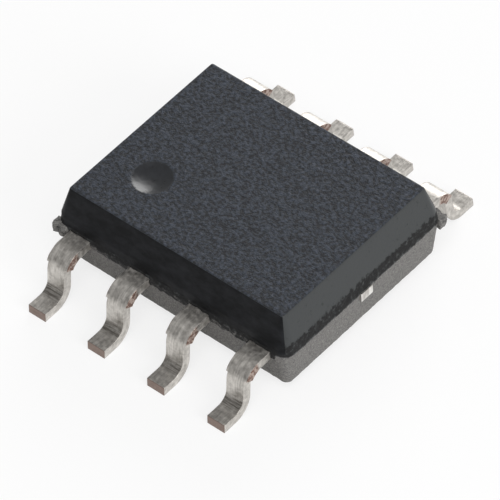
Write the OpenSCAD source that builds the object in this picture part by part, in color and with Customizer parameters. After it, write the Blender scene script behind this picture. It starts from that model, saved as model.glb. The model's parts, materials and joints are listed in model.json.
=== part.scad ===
// Eight-lead small-outline integrated circuit (SOIC): a moulded epoxy body with
// four tinned gull-wing leads on each long side, and the lead frame, die and
// bond wires that the moulding holds.
// Millimetres. +Z is up, the feet stand on z = 0, and the origin is below the
// middle of the body. Lead 1 is at -X, -Y, beside the dimple.

/* [Leads] */
// Distance from one lead to the next
pitch = 1.27; // [1.1:0.01:1.6]
// Thickness of the lead frame's metal
metal_t = 0.17; // [0.12:0.01:0.22]
// Width of a lead below the shoulder
lead_w = 0.36; // [0.28:0.01:0.46]
// Width of the shoulder, where the dam bar was cut off
shoulder_w = 0.42; // [0.34:0.01:0.54]
// How far the flat shoulder runs out from the body before it bends
shoulder_run = 0.25; // [0.12:0.01:0.6]
// Radius inside each bend
bend_r = 0.22; // [0.1:0.01:0.26]
// Lean of the riser away from upright, in degrees
riser_lean = 6; // [0:1:12]
// How far round the upper bend the wide shoulder runs before it is cut narrower,
// in degrees
dam_turn = 62; // [30:1:75]
// Length of the flat of the foot, from its bend to the tip
foot_l = 0.27; // [0.15:0.01:0.8]
// How far the cut at the foot's tip leans, in degrees
tip_cut = 4; // [0:1:25]

/* [Body] */
// How far the body runs past the middle of the end leads
end_l = 0.545; // [0.45:0.005:1.2]
// Width of the body at the parting line
body_w = 3.9; // [3.6:0.05:7.5]
// Clearance below the body
standoff = 0.2; // [0.1:0.01:0.25]
// Height of the lower half, from the underside to the parting line
lower_h = 0.74; // [0.62:0.01:1.1]
// Height of the upper half, from the parting line to the top
upper_h = 0.75; // [0.6:0.01:1.1]
// Height of the steep band at the foot of the upper half
band_h = 0.2; // [0.05:0.01:0.3]
// Draft of the steep band
band_draft = 0.02; // [0.01:0.01:0.05]
// How far the top face stands in from the parting line
upper_inset = 0.2; // [0.12:0.01:0.24]
// How far the underside stands in from the parting line
lower_inset = 0.11; // [0.05:0.01:0.14]
// Radius of the top face's corners, which open out to the parting line
top_r = 0.03; // [0.025:0.005:0.2]
// Radius round the edge of the top face and the underside
edge_r = 0.03; // [0.01:0.005:0.035]
// How far the flash stands out of the long sides, between the leads
rim_out = 0.03; // [0.01:0.01:0.06]
// How far the two flash ears stand out
ear_out = 0.11; // [0.04:0.01:0.16]
// Length of each flash ear along the body
ear_l = 0.3; // [0.15:0.01:0.32]
// How far each flash ear runs past the body's end
ear_past = 0.02; // [0.01:0.01:0.04]
// Slant of each flash ear's broken corners
ear_cut = 0.03; // [0.01:0.01:0.035]

/* [Marks] */
// Width across the pin-1 dimple
dimple_d = 0.73; // [0.4:0.01:0.9]
// Depth of the pin-1 dimple
dimple_h = 0.07; // [0.03:0.01:0.12]
// Distance of the dimple's middle from the body's end
dimple_x = 1.11; // [0.8:0.01:1.3]
// Distance of the dimple's middle from the body's side
dimple_y = 1.19; // [0.8:0.01:1.3]
// Width across the ejector mark on the underside
eject_d = 1; // [0.6:0.05:1.4]
// Depth of the ejector mark
eject_h = 0.03; // [0.01:0.01:0.06]

/* [Lead frame] */
// Length of the die pad
pad_l = 2.3; // [1.6:0.05:2.6]
// Width of the die pad
pad_w = 1.5; // [1.2:0.05:1.8]
// How far the die pad is pressed down below the leads
downset = 0.2; // [0.1:0.01:0.28]
// Width of the tie bars
tie_w = 0.28; // [0.15:0.01:0.4]
// How far the cut ends of the tie bars stand out of the body's ends
tie_out = 0.03; // [0.02:0.01:0.12]
// Gap between the die pad's side and the inner ends of the leads
inner_gap = 0.2; // [0.15:0.01:0.25]
// Width of the inner ends of the leads
inner_w = 0.6; // [0.5:0.01:0.8]
// Length of the inner ends of the leads
inner_l = 0.45; // [0.4:0.01:0.5]
// How far inside the body a lead begins to widen
neck_l = 0.3; // [0.2:0.01:0.33]
// Width across the hole that locks each inner end in the moulding
lock_d = 0.2; // [0.12:0.01:0.26]
// Metal between the lock hole and the end of the wide part
lock_in = 0.02; // [0.01:0.01:0.06]

/* [Die and wires] */
// Length of the die
die_l = 1.4; // [0.9:0.05:1.5]
// Width of the die
die_w = 1.1; // [0.8:0.05:1.15]
// Thickness of the die
die_t = 0.28; // [0.15:0.01:0.3]
// Thickness of the die attach film
attach_t = 0.03; // [0.02:0.01:0.05]
// Thickness of a bond wire
wire_d = 0.04; // [0.03:0.005:0.06]
// Height of a bond wire's loop above the line between its ends
loop_h = 0.16; // [0.1:0.01:0.18]
// How far each bond pad stands in from the die's edges
bond_in = 0.12; // [0.08:0.01:0.2]
// How far from a lead's inner end its bond wire lands
land_in = 0.1; // [0.06:0.01:0.14]

/* [Hidden] */
$fn = 64;

tin = [0.74, 0.73, 0.70];
epoxy = [0.20, 0.21, 0.23];

// The parting line is level with the upper face of the leads
body_l = 3 * pitch + 2 * end_l;
corner_r = top_r + upper_inset;
metal_top = standoff + lower_h;
metal_z = metal_top - metal_t;
top_z = metal_top + upper_h;

// The gull wing's two bends: their centres, and the straight riser between them
mid_r = bend_r + metal_t / 2;
bend_y = body_w / 2 + shoulder_run;
bend_z = metal_z - bend_r;
riser = (bend_z - bend_r - metal_t + 2 * mid_r * sin(riser_lean)) / cos(riser_lean);
foot_y = bend_y + 2 * mid_r * cos(riser_lean) + riser * sin(riser_lean);
foot_z = bend_r + metal_t;
tip_y = foot_y + foot_l;

// Inner ends of the leads, and the heights of the die pad and the die
inner_y = pad_w / 2 + inner_gap;
lock_y = inner_y + inner_l - lock_d / 2 - lock_in;
bond_y = inner_y + land_in;
pad_top = metal_top - downset;
die_z = pad_top + attach_t;
die_top = die_z + die_t;
ball_d = 2 * wire_d;
ball_h = wire_d / 2;

// Size of the block that trims a bond wire, in thicknesses of its slanted cut
trim_size = 2.4;

// How far the leads' inner ends are drawn in towards the middle, and where the bond
// pads of the inner leads lie, as a share of the outer leads' distance
outer_draw = 0.86;
inner_draw = 0.93;
inner_pad = 0.36;

// Leads 1 to 4 run along the front from -X, and 5 to 8 come back along the rear
function side(i) = i <= 4 ? -1 : 1;
function lead_x(i) = side(i) * (2.5 - (i <= 4 ? i : i - 4)) * pitch;
function is_outer(i) = abs(lead_x(i)) > pitch;
function inner_x(i) = lead_x(i) * (is_outer(i) ? outer_draw : inner_draw);
function die_x(i) = (die_l / 2 - bond_in) * sign(lead_x(i)) * (is_outer(i) ? 1 : inner_pad);

// ---- Leads ----

// Strip of metal bent between two angles, measured about the bend's centre
module bend(from, to) {
    reach = 2 * (bend_r + metal_t);
    intersection() {
        difference() {
            circle(r = bend_r + metal_t);
            circle(r = bend_r);
        }
        polygon([[0, 0],
                 reach * [cos(from), sin(from)],
                 reach * [cos((from + to) / 2), sin((from + to) / 2)],
                 reach * [cos(to), sin(to)]]);
    }
}

// Side view of the shoulder, round the bend to where the dam bar's stubs end
module shoulder_profile() {
    translate([body_w / 2, metal_z]) square([shoulder_run, metal_t]);
    translate([bend_y, bend_z]) bend(90 - dam_turn, 90);
}

// Side view of the rest of the bend, the riser and the foot, whose tip is sheared at
// a slant
module foot_profile() {
    translate([bend_y, bend_z]) {
        bend(riser_lean, 90 - dam_turn);
        rotate(riser_lean) translate([bend_r, -riser]) square([metal_t, riser]);
    }
    translate([foot_y, foot_z]) bend(180 + riser_lean, 270);
    polygon([[foot_y, 0], [tip_y, 0],
             [tip_y - metal_t * tan(tip_cut), metal_t], [foot_y, metal_t]]);
}

// Turns a side view into a strip of metal of width w that runs out along +Y
module strip_of(w) {
    rotate([90, 0, 90]) linear_extrude(w, center = true) children();
}

// Plan of the end that is anchored in the moulding, for the lead at x with its
// inner end at xi
module anchor_plan(x, xi) {
    difference() {
        polygon([[x - shoulder_w / 2, body_w / 2],
                 [x - shoulder_w / 2, body_w / 2 - neck_l],
                 [xi - inner_w / 2, inner_y + inner_l],
                 [xi - inner_w / 2, inner_y],
                 [xi + inner_w / 2, inner_y],
                 [xi + inner_w / 2, inner_y + inner_l],
                 [x + shoulder_w / 2, body_w / 2 - neck_l],
                 [x + shoulder_w / 2, body_w / 2]]);
        translate([xi, lock_y]) circle(d = lock_d);
    }
}

// Lead i, from its anchored end to the tip of its foot
module lead(i) {
    x = lead_x(i);
    color(tin) mirror([0, side(i) < 0 ? 1 : 0, 0]) {
        translate([x, 0, 0]) {
            strip_of(shoulder_w) shoulder_profile();
            strip_of(lead_w) foot_profile();
        }
        translate([0, 0, metal_z]) linear_extrude(metal_t) anchor_plan(x, inner_x(i));
    }
}

// ---- Die pad, die and bond wires ----

// Side view of half the die pad with its tie bar, which bends up to the leads' level
module tie_profile() {
    bend_in = pad_l / 2 + metal_t * tan(22.5);
    polygon([[0, pad_top], [pad_l / 2, pad_top],
             [pad_l / 2 + downset, metal_top],
             [body_l / 2 + tie_out, metal_top],
             [body_l / 2 + tie_out, metal_z],
             [bend_in + downset, metal_z],
             [bend_in, pad_top - metal_t], [0, pad_top - metal_t]]);
}

module die_pad() {
    color(tin) {
        for (s = [0, 1]) mirror([s, 0, 0]) rotate([90, 0, 0])
            linear_extrude(tie_w, center = true) tie_profile();
        translate([-pad_l / 2, -pad_w / 2, pad_top - metal_t])
            cube([pad_l, pad_w, metal_t]);
    }
}

module die_attach() {
    color("lightgrey") translate([-die_l / 2, -die_w / 2, pad_top])
        cube([die_l, die_w, attach_t]);
}

module die() {
    color("slategrey") translate([-die_l / 2, -die_w / 2, die_z])
        cube([die_l, die_w, die_t]);
}

// Wire i: a ball on the die and a round arc over to the lead's inner end. The arc
// runs on into the metal at both ends, and a block there trims it level with the metal
module bond_wire(i) {
    a = [die_x(i), side(i) * (die_w / 2 - bond_in), die_top];
    b = [inner_x(i) - sign(inner_x(i)) * inner_w / 4, side(i) * bond_y, metal_top];
    run = norm([b.x - a.x, b.y - a.y]);
    chord = norm(b - a);
    arc_r = (chord * chord / 4 + loop_h * loop_h) / (2 * loop_h);
    dip = asin(chord / 2 / arc_r);
    half = dip + wire_d / tan(dip) / arc_r * 180 / PI;
    trim = trim_size * wire_d / sin(dip);
    color("gold") {
        difference() {
            translate((a + b) / 2)
                rotate([0, 0, atan2(b.y - a.y, b.x - a.x)])
                rotate([90, atan2(a.z - b.z, run), 0])
                translate([0, loop_h - arc_r, 0])
                rotate([0, 0, 90 - half]) rotate_extrude(angle = 2 * half)
                translate([arc_r, 0]) circle(d = wire_d, $fn = 16);
            for (end = [a, b])
                translate(end - [trim / 2, trim / 2, trim]) cube(trim);
        }
        translate(a) cylinder(d = ball_d, h = ball_h, $fn = 24);
    }
}

// ---- Body ----

// Side view of one half of the moulding, out from the centre of an upright corner:
// a band of height band, then a wall that leans in to inset at height h, then a
// rounded edge
module half_profile(h, inset, band, band_in) {
    lean = atan((inset - band_in) / (h - band));
    fillet_x = corner_r - inset - edge_r * tan(45 - lean / 2);
    polygon([[0, 0], [corner_r, 0], [corner_r - band_in, band],
             [fillet_x + edge_r * cos(lean), h - edge_r + edge_r * sin(lean)],
             [fillet_x, h], [0, h]]);
    translate([fillet_x, h - edge_r]) circle(r = edge_r);
}

// Carries a side view round the body: turned at each corner, straight along each side
module around_body() {
    x = body_l / 2 - corner_r;
    y = body_w / 2 - corner_r;
    for (sx = [-1, 1], sy = [-1, 1])
        translate([sx * x, sy * y, 0]) rotate_extrude() children();
    for (s = [0, 180]) rotate(s) {
        translate([0, y, 0]) rotate([90, 0, 90])
            linear_extrude(2 * x, center = true) children();
        translate([x, 0, 0]) rotate([90, 0, 0])
            linear_extrude(2 * y, center = true) children();
    }
}

// One half of the moulding, filled in
module mould_half(h, inset, band, band_in) {
    around_body() half_profile(h, inset, band, band_in);
    translate([corner_r - body_l / 2, corner_r - body_w / 2, 0])
        cube([body_l - 2 * corner_r, body_w - 2 * corner_r, h]);
}

// Flash at the level of the metal: a rim along each long side, and at two
// opposite corners an ear, which fills the corner out to the end's plane
module flash() {
    x = body_l / 2;
    y = body_w / 2;
    translate([0, 0, metal_z]) linear_extrude(metal_t) {
        square([2 * (x - corner_r), 2 * (y + rim_out)], center = true);
        for (s = [0, 180]) rotate(s)
            polygon([[x - corner_r, y - corner_r], [x, y - corner_r],
                     [x + ear_past, y + ear_out - ear_cut],
                     [x + ear_past - ear_cut, y + ear_out],
                     [x - ear_l + ear_cut, y + ear_out],
                     [x - ear_l, y + ear_out - ear_cut],
                     [x - ear_l, y - corner_r / 2], [x - corner_r, y - corner_r / 2]]);
    }
}

module pin_1_dimple() {
    ball_r = (dimple_d * dimple_d / 4 + dimple_h * dimple_h) / (2 * dimple_h);
    translate([dimple_x - body_l / 2, dimple_y - body_w / 2,
               top_z - dimple_h + ball_r]) sphere(r = ball_r, $fn = 96);
}

module ejector_mark() {
    cylinder(d = eject_d, h = standoff + eject_h);
}

// Everything that the compound is moulded round
module embedded() {
    for (i = [1 : 8]) {
        lead(i);
        bond_wire(i);
    }
    die_pad();
    die_attach();
    die();
}

module body() {
    color(epoxy) difference() {
        union() {
            translate([0, 0, metal_top])
                mould_half(upper_h, upper_inset, band_h, band_draft);
            flash();
            translate([0, 0, metal_top]) mirror([0, 0, 1])
                mould_half(lower_h, lower_inset, 0, 0);
        }
        pin_1_dimple();
        ejector_mark();
        embedded();
    }
}

body();
lead(1);  // lead_1
lead(2);  // lead_2
lead(3);  // lead_3
lead(4);  // lead_4
lead(5);  // lead_5
lead(6);  // lead_6
lead(7);  // lead_7
lead(8);  // lead_8
die_pad();
die_attach();
die();
bond_wire(1);  // bond_wire_1
bond_wire(2);  // bond_wire_2
bond_wire(3);  // bond_wire_3
bond_wire(4);  // bond_wire_4
bond_wire(5);  // bond_wire_5
bond_wire(6);  // bond_wire_6
bond_wire(7);  // bond_wire_7
bond_wire(8);  // bond_wire_8
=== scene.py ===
# Eight-lead small-outline chip, standing on its feet on a pale table.
# Lengths are given in millimetres in the dictionaries, and one function makes them metres.
import json
import math

import bpy
import bmesh
from mathutils import Matrix, Vector, noise


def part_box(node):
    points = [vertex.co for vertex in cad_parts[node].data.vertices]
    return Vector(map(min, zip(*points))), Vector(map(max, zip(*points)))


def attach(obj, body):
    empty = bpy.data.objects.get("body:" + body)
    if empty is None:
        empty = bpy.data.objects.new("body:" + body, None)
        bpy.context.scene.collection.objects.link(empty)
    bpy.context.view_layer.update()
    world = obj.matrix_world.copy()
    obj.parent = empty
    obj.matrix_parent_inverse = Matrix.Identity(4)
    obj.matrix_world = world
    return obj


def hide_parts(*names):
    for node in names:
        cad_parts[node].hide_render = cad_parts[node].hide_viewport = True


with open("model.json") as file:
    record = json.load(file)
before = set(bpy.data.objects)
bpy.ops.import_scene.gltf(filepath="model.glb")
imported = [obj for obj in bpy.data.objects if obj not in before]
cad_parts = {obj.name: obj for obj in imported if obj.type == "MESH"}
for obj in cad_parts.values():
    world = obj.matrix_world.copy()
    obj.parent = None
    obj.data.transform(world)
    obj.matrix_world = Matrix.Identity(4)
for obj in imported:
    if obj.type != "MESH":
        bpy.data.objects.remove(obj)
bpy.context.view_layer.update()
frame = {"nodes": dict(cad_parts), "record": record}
millimetre = 0.001
perMillimetre = 1 / millimetre
hair = 1e-6                # mm, less than this is nothing


def mm(*values):
    scaled = [value * millimetre for value in values]
    return Vector(scaled) if len(scaled) > 1 else scaled[0]


def linearColour(hexCode):
    channels = [int(hexCode[i:i + 2], 16) / 255 for i in (1, 3, 5)]
    linear = [c / 12.92 if c <= 0.04045 else ((c + 0.055) / 1.055) ** 2.4 for c in channels]
    return (*linear, 1.0)


# Adds a node with its settings. An input given as a socket is linked, anything else is set
def addNode(tree, kind, settings=None, inputs=None):
    node = tree.nodes.new(kind)
    for name, value in (settings or {}).items():
        setattr(node, name, value)
    for key, value in (inputs or {}).items():
        if isinstance(value, bpy.types.NodeSocket):
            tree.links.new(value, node.inputs[key])
        else:
            node.inputs[key].default_value = value
    return node


def newMaterial(name):
    material = bpy.data.materials.new(name)
    material.use_nodes = True
    material.node_tree.nodes.clear()
    return material, material.node_tree


def newPiece(name, mesh, smooth=True):
    obj = bpy.data.objects.new(name, mesh)
    bpy.context.scene.collection.objects.link(obj)
    for polygon in mesh.polygons:
        polygon.use_smooth = smooth
    return obj


def toMesh(name, shape):
    mesh = bpy.data.meshes.new(name)
    shape.to_mesh(mesh)
    shape.free()
    return mesh


# Rounds the edges that turn by more than an angle in degrees
def breakEdges(obj, width, angle):
    bevel = obj.modifiers.new("brokenEdges", "BEVEL")
    bevel.width = mm(width)
    bevel.segments = 2
    bevel.limit_method = "ANGLE"
    bevel.angle_limit = math.radians(angle)


epoxyIor = 1.55

# Moulding compound: silica-filled black epoxy. The spark-eroded mould leaves a fine grain
# on the top, and the eye sees dark blue-grey with small glints in it
grainedEpoxy = {
    "top": "#11141a",
    "glint": "#39404c",
    "litEndWallGrey": "#303334",    # painted light: the ends' drafted walls are painted a lighter grey for the light falling on them; they are also smoother
    "lower": "#5c5b5a",    # painted light: the lower half is painted a light grey, standing in for the light the table throws up onto it; it is also matt
    "tableLitLowerGlint": "#83817e",
    # painted shade: the flash band is near black for the shade in the recess above the rim; the
    # flash is also rough
    "flash": "#0d0d0e",
    "grain": 0.055,        # mm across one pit of the spark-eroded finish
    "speck": 0.028,        # mm, the filler's specks in the lower half
    "ragged": 0.09,        # mm, the torn edge of the flash
    "pit": 0.012,          # mm deep
    "tornReach": 0.55,     # how far the tear carries the flash's edge, as a share of its fade
    "flashEdge": (0.2, 1.05),    # where the flash and its painted shade start and are full
    "smooth": 0.36,        # roughness of the smoother walls
    "rough": 0.58,         # of the grained faces
    "roughest": 0.85,      # and of the flash and the lower half
    "relief": (0.1, 0.9),  # strength of the pits on smooth walls and on grained ones
}


def makeGrainedEpoxy():
    material, tree = newMaterial("sparkErodedEpoxy")
    where = addNode(tree, "ShaderNodeTexCoord")
    scaled = addNode(tree, "ShaderNodeMapping", None,
                     {"Vector": where.outputs["Object"], "Scale": (perMillimetre,) * 3})
    finish = addNode(tree, "ShaderNodeAttribute", {"attribute_name": "finish"})
    grain, low, band = addNode(tree, "ShaderNodeSeparateXYZ", None,
                               {0: finish.outputs["Vector"]}).outputs
    pits = addNode(tree, "ShaderNodeTexNoise", None,
                   {"Vector": scaled.outputs[0], "Scale": 1 / grainedEpoxy["grain"],
                    "Detail": 2.5, "Roughness": 0.62})
    specks = addNode(tree, "ShaderNodeTexNoise", None,
                     {"Vector": scaled.outputs[0], "Scale": 1 / grainedEpoxy["speck"],
                      "Detail": 2.0, "Roughness": 0.7})
    torn = addNode(tree, "ShaderNodeTexNoise", None,
                   {"Vector": scaled.outputs[0], "Scale": 1 / grainedEpoxy["ragged"],
                    "Detail": 3.0, "Roughness": 0.65})
    raised = addNode(tree, "ShaderNodeMapRange", None,
                     {"Value": pits.outputs["Fac"], "From Min": 0.42, "From Max": 0.68})
    topColour = addNode(tree, "ShaderNodeMix", {"data_type": "RGBA"},
                        {"Factor": raised.outputs[0], "A": linearColour(grainedEpoxy["top"]),
                         "B": linearColour(grainedEpoxy["glint"])})
    # painted light: walls away from the top take the lighter grey painted for the lit ends
    upper = addNode(tree, "ShaderNodeMix", {"data_type": "RGBA"},
                    {"Factor": grain, "A": linearColour(grainedEpoxy["litEndWallGrey"]),
                     "B": topColour.outputs["Result"]})
    speckled = addNode(tree, "ShaderNodeMapRange", None,
                       {"Value": specks.outputs["Fac"], "From Min": 0.36, "From Max": 0.64})
    # painted light: the lower half's light grey and specks stand in for the table's light on it
    tableLitLowerColour = addNode(tree, "ShaderNodeMix", {"data_type": "RGBA"},
                          {"Factor": speckled.outputs[0],
                           "A": linearColour(grainedEpoxy["lower"]),
                           "B": linearColour(grainedEpoxy["tableLitLowerGlint"])})
    halves = addNode(tree, "ShaderNodeMix", {"data_type": "RGBA"},
                     {"Factor": low, "A": upper.outputs["Result"],
                      "B": tableLitLowerColour.outputs["Result"]})
    # the flash and the painted shade in its recess fade in and out along a torn edge
    tornEdge = addNode(tree, "ShaderNodeMapRange", None,
                       {"Value": torn.outputs["Fac"], "From Min": 0.3, "From Max": 0.7,
                        "To Min": -grainedEpoxy["tornReach"],
                        "To Max": grainedEpoxy["tornReach"]})
    reach = addNode(tree, "ShaderNodeMath", {"operation": "ADD"},
                    {0: band, 1: tornEdge.outputs[0]})
    flash = addNode(tree, "ShaderNodeMapRange", {"interpolation_type": "SMOOTHSTEP"},
                    {"Value": reach.outputs[0], "From Min": grainedEpoxy["flashEdge"][0],
                     "From Max": grainedEpoxy["flashEdge"][1]})
    colour = addNode(tree, "ShaderNodeMix", {"data_type": "RGBA"},
                     {"Factor": flash.outputs[0], "A": halves.outputs["Result"],
                      "B": linearColour(grainedEpoxy["flash"])})
    roughFlash = addNode(tree, "ShaderNodeMath", {"operation": "MAXIMUM"},
                         {0: flash.outputs[0], 1: low})
    rougher = addNode(tree, "ShaderNodeMath", {"operation": "MAXIMUM"},
                      {0: grain, 1: roughFlash.outputs[0]})
    grained = addNode(tree, "ShaderNodeMapRange", None,
                      {"Value": rougher.outputs[0], "To Min": grainedEpoxy["smooth"],
                       "To Max": grainedEpoxy["rough"]})
    roughness = addNode(tree, "ShaderNodeMapRange", None,
                        {"Value": roughFlash.outputs[0], "To Min": grained.outputs[0],
                         "To Max": grainedEpoxy["roughest"]})
    strength = addNode(tree, "ShaderNodeMapRange", None,
                       {"Value": rougher.outputs[0], "To Min": grainedEpoxy["relief"][0],
                        "To Max": grainedEpoxy["relief"][1]})
    relief = addNode(tree, "ShaderNodeMath", {"operation": "ADD"},
                     {0: pits.outputs["Fac"], 1: specks.outputs["Fac"]})
    bump = addNode(tree, "ShaderNodeBump", None,
                   {"Strength": strength.outputs[0], "Distance": mm(grainedEpoxy["pit"]),
                    "Height": relief.outputs[0]})
    surface = addNode(tree, "ShaderNodeBsdfPrincipled", None,
                      {"Base Color": colour.outputs["Result"],
                       "Roughness": roughness.outputs[0], "IOR": epoxyIor,
                       "Specular IOR Level": 0.4, "Normal": bump.outputs["Normal"]})
    addNode(tree, "ShaderNodeOutputMaterial", None, {"Surface": surface.outputs[0]})
    return material


# The same compound against a polished mould wall. The long sides are painted near black,
# standing in for their shade, with faint flow marks and a little dust
shadedPolishedWall = {
    "name": "shadedPolishedSideEpoxy",
    # painted shade: near black for the long sides' shade
    "dark": "#0d0e10",
    "dust": "#232427",
    "flow": 0.35,          # mm between flow marks
    "flatter": 2.2,        # how many times closer the marks lie upwards than sideways
    "relief": 0.004,       # mm
    "roughness": 0.42,
    "dustRougher": 0.2,
    "specular": 0.1,
}

# And against the domed end of a polished pin, which leaves the dimple dark and shiny
polishedPin = {
    "name": "pinPolishedEpoxy",
    "dark": "#14161a",
    "dust": "#1f2227",
    "flow": 0.2,
    "flatter": 2.2,
    "relief": 0.004,
    "roughness": 0.2,
    "dustRougher": 0.2,
    "specular": 0.6,
}


def makePolishedEpoxy(finish):
    material, tree = newMaterial(finish["name"])
    where = addNode(tree, "ShaderNodeTexCoord")
    scaled = addNode(tree, "ShaderNodeMapping", None,
                     {"Vector": where.outputs["Object"],
                      "Scale": (perMillimetre, perMillimetre,
                                perMillimetre * finish["flatter"])})
    flow = addNode(tree, "ShaderNodeTexNoise", None,
                   {"Vector": scaled.outputs[0], "Scale": 1 / finish["flow"],
                    "Detail": 6.0, "Roughness": 0.7})
    dusty = addNode(tree, "ShaderNodeMapRange", None,
                    {"Value": flow.outputs["Fac"], "From Min": 0.4, "From Max": 0.72})
    colour = addNode(tree, "ShaderNodeMix", {"data_type": "RGBA"},
                     {"Factor": dusty.outputs[0], "A": linearColour(finish["dark"]),
                      "B": linearColour(finish["dust"])})
    roughness = addNode(tree, "ShaderNodeMapRange", None,
                        {"Value": flow.outputs["Fac"], "To Min": finish["roughness"],
                         "To Max": finish["roughness"] + finish["dustRougher"]})
    bump = addNode(tree, "ShaderNodeBump", None,
                   {"Strength": 0.3, "Distance": mm(finish["relief"]),
                    "Height": flow.outputs["Fac"]})
    surface = addNode(tree, "ShaderNodeBsdfPrincipled", None,
                      {"Base Color": colour.outputs["Result"],
                       "Roughness": roughness.outputs[0], "IOR": epoxyIor,
                       "Specular IOR Level": finish["specular"],
                       "Normal": bump.outputs["Normal"]})
    addNode(tree, "ShaderNodeOutputMaterial", None, {"Surface": surface.outputs[0]})
    return material


# Matt tin plate over copper alloy. It gives a warm grey with faint streaks, painted darker as
# shade over the lower bend in ridged streaks on a ridged relief, and brown where the strip was
# cut
tinPlate = {
    "bright": "#dcd8d2",
    "dull": "#a8a49e",
    # painted shade: the darker colour of the lower bend
    "paintedBendShade": "#6f6b65",
    "brown": "#755b50",
    "pink": "#bdaca2",
    # painted shade: the tip's cut copper is painted darker for the shade on its face
    "tip": "#85756d",
    "streak": 0.03,        # mm across one streak
    "mottle": 0.07,        # mm
    "ridge": 0.035,        # mm between the ridges in the bend's relief and its painted shade
    "skew": 0.35,          # how far the streaks turn from the strip's length, in radians
    "bendFrom": (0.26, 0.42),    # mm from the tip, where the painted bend shade and the ridged relief fade in
    "bendTo": (0.6, 0.74),       # and out again
    "damFrom": (-0.3, -0.26),    # mm past the step, where the cut sides start
    "damTo": (0.0, 0.012),
    "tipFrom": (0.002, 0.012),   # mm from the tip
    "nearEdge": (0.93, 1.0),     # share of the half width, where the painted bend shade stops
    "onSide": (0.95, 0.995),
    "relief": 0.005,       # mm
    "roughness": 0.4,
    "spread": (-0.08, 0.14),     # how much smoother and rougher it gets in places
}


# A mask that fades in over one stretch of a value and out over a later one
def addWindow(tree, value, fadeIn, fadeOut, curve):
    rise = addNode(tree, "ShaderNodeMapRange", {"interpolation_type": curve},
                   {"Value": value, "From Min": fadeIn[0], "From Max": fadeIn[1]})
    fall = addNode(tree, "ShaderNodeMapRange", {"interpolation_type": curve},
                   {"Value": value, "From Min": fadeOut[0], "From Max": fadeOut[1],
                    "To Min": 1.0, "To Max": 0.0})
    return addNode(tree, "ShaderNodeMath", {"operation": "MULTIPLY"},
                   {0: rise.outputs[0], 1: fall.outputs[0]}).outputs[0]


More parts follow.
